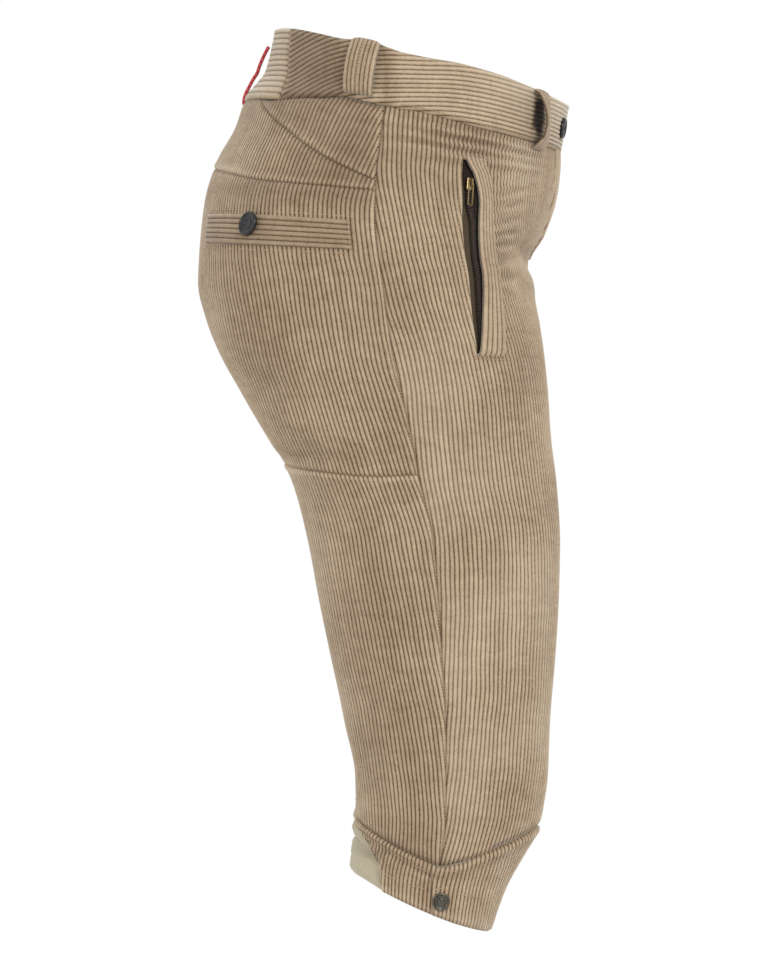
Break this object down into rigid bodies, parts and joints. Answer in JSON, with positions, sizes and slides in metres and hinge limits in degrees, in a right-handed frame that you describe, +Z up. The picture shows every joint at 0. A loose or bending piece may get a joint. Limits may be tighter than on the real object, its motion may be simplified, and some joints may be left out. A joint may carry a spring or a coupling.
{
  "type": "corduroy knee breeches",
  "caption": "Women's corduroy knee breeches in worn form: wide-wale cloth, shaped waistband, back yoke, slanted zip pockets, snapped cuffs and a knit insert behind each calf.",
  "frame": {"origin": "centre of the waist opening, level with the middle of the waistband's top edge", "axes": "+Z up the body, -Y the wearer's front, -X the wearer's right side"},
  "size_m": [0.3716, 0.3018, 0.7254],
  "materials": {
    "corduroy": "wide-wale cotton corduroy, sandy brown, matt pile",
    "stretch_knit": "ribbed elastic knit, khaki, matt",
    "pocket_cloth": "plain dark olive pocketing",
    "zip_tape": "woven brown zip tape",
    "button": "dark horn-look plastic, glossy",
    "gunmetal": "dark plated metal, satin",
    "red_cord": "braided red cord"
  },
  "bodies": {
    "breeches": {"waistband_right": "corduroy", "waistband_left": "corduroy", "waistband_back": "corduroy", "fly_right": "corduroy", "waist_button": "button", "hanging_loop": "red_cord", "front_leg_right": "corduroy", "front_leg_left": "corduroy", "yoke_upper_right": "corduroy", "yoke_upper_left": "corduroy", "yoke_lower_right": "corduroy", "yoke_lower_left": "corduroy", "seat_right": "corduroy", "seat_left": "corduroy", "back_leg_right": "corduroy", "back_leg_left": "corduroy", "cuff_front_right": "corduroy", "cuff_front_left": "corduroy", "cuff_back_outer_right": "corduroy", "cuff_back_outer_left": "corduroy", "cuff_back_inner_right": "corduroy", "cuff_back_inner_left": "corduroy", "calf_insert_right": "stretch_knit", "calf_insert_left": "stretch_knit", "pocket_welt_right": "corduroy", "pocket_welt_left": "corduroy", "pocket_inside_right": "pocket_cloth", "pocket_inside_left": "pocket_cloth", "zip_tape_right": "zip_tape", "zip_tape_left": "zip_tape", "zip_slider_right": "gunmetal", "zip_slider_left": "gunmetal", "back_pocket_welt_right": "corduroy", "back_pocket_welt_left": "corduroy", "back_pocket_button_right": "button", "back_pocket_button_left": "button", "side_loop_right": "corduroy", "side_loop_left": "corduroy", "front_loop_right": "corduroy", "front_loop_left": "corduroy", "cuff_snap_right": "gunmetal", "cuff_snap_left": "gunmetal"},
    "zip_pull_right": {"zip_pull_right": "gunmetal"},
    "zip_pull_left": {"zip_pull_left": "gunmetal"}
  },
  "joints": [
    {"name": "zip_pull_right_hinge", "type": "hinge", "parent": "breeches", "child": "zip_pull_right", "pos_m": [-0.15138, -0.03559, -0.10286], "axis": [-0.4841, 0.855, 0.1863], "range_deg": [0, 150]},
    {"name": "zip_pull_left_hinge", "type": "hinge", "parent": "breeches", "child": "zip_pull_left", "pos_m": [0.15138, -0.03559, -0.10286], "axis": [-0.4841, -0.855, -0.1863], "range_deg": [0, 150]}
  ]
}
